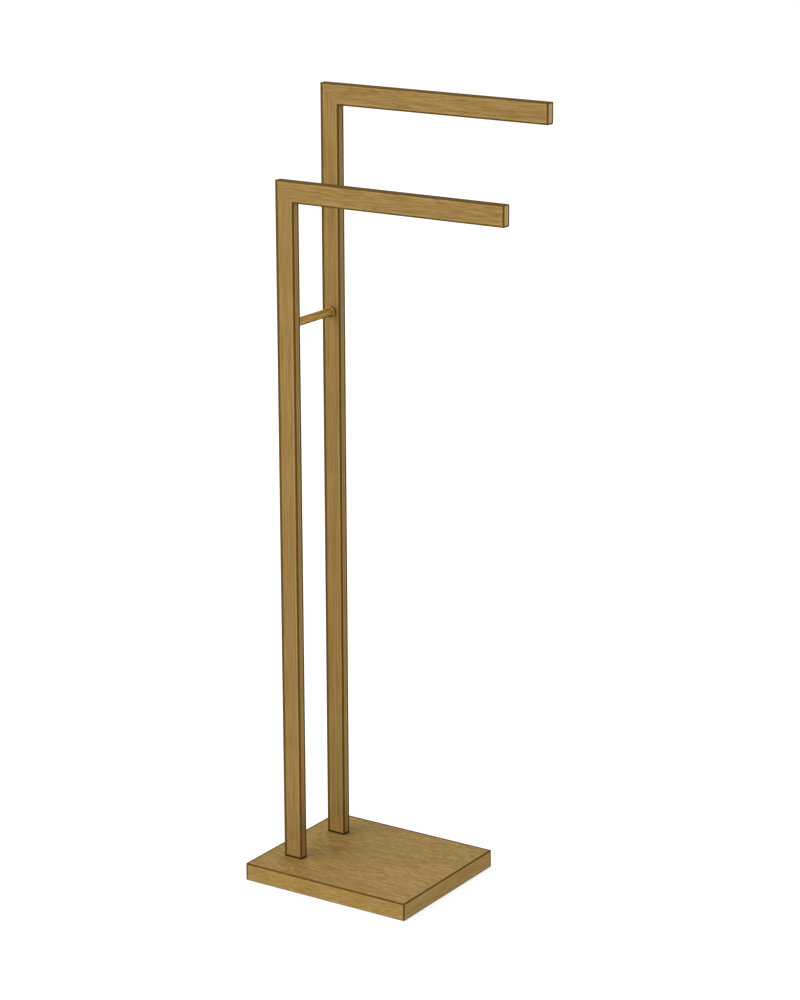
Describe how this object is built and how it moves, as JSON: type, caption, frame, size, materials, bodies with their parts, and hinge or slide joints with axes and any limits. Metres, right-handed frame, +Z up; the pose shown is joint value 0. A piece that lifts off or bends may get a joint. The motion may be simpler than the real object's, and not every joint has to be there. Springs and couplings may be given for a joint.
{
  "type": "freestanding towel stand",
  "caption": "Freestanding towel stand: a lower front and a taller rear L-shaped frame of flat brushed tube, tied by a short round bar, on a weighted rectangular base.",
  "frame": {"origin": "on the floor, at the middle of the base's underside", "axes": "+X from the posts along the arms, +Y from the lower front frame to the taller rear frame, +Z up"},
  "size_m": [0.264, 0.156, 0.76],
  "materials": {
    "brushed_bronze": "brushed steel, bronze toned",
    "zinc_steel": "zinc plated",
    "cast_iron": "as cast, black primer",
    "black_rubber": "fine grain",
    "white_nylon": "moulded"
  },
  "bodies": {
    "root": {"base_cover": "brushed_bronze", "base_ballast": "cast_iron", "base_studs": "zinc_steel", "base_stud_washers": "zinc_steel", "base_stud_nuts": "zinc_steel", "anti_slip_mat": "black_rubber", "front_post": "brushed_bronze", "front_arm": "brushed_bronze", "front_arm_cap": "brushed_bronze", "front_foot_block": "zinc_steel", "front_clamp_plate": "zinc_steel", "front_foot_screws": "zinc_steel", "rear_post": "brushed_bronze", "rear_arm": "brushed_bronze", "rear_arm_cap": "brushed_bronze", "rear_foot_block": "zinc_steel", "rear_clamp_plate": "zinc_steel", "rear_foot_screws": "zinc_steel", "crossbar_rod": "brushed_bronze", "crossbar_insert": "zinc_steel", "crossbar_bush": "white_nylon", "front_collar": "brushed_bronze", "rear_collar": "brushed_bronze"}
  },
  "joints": []
}
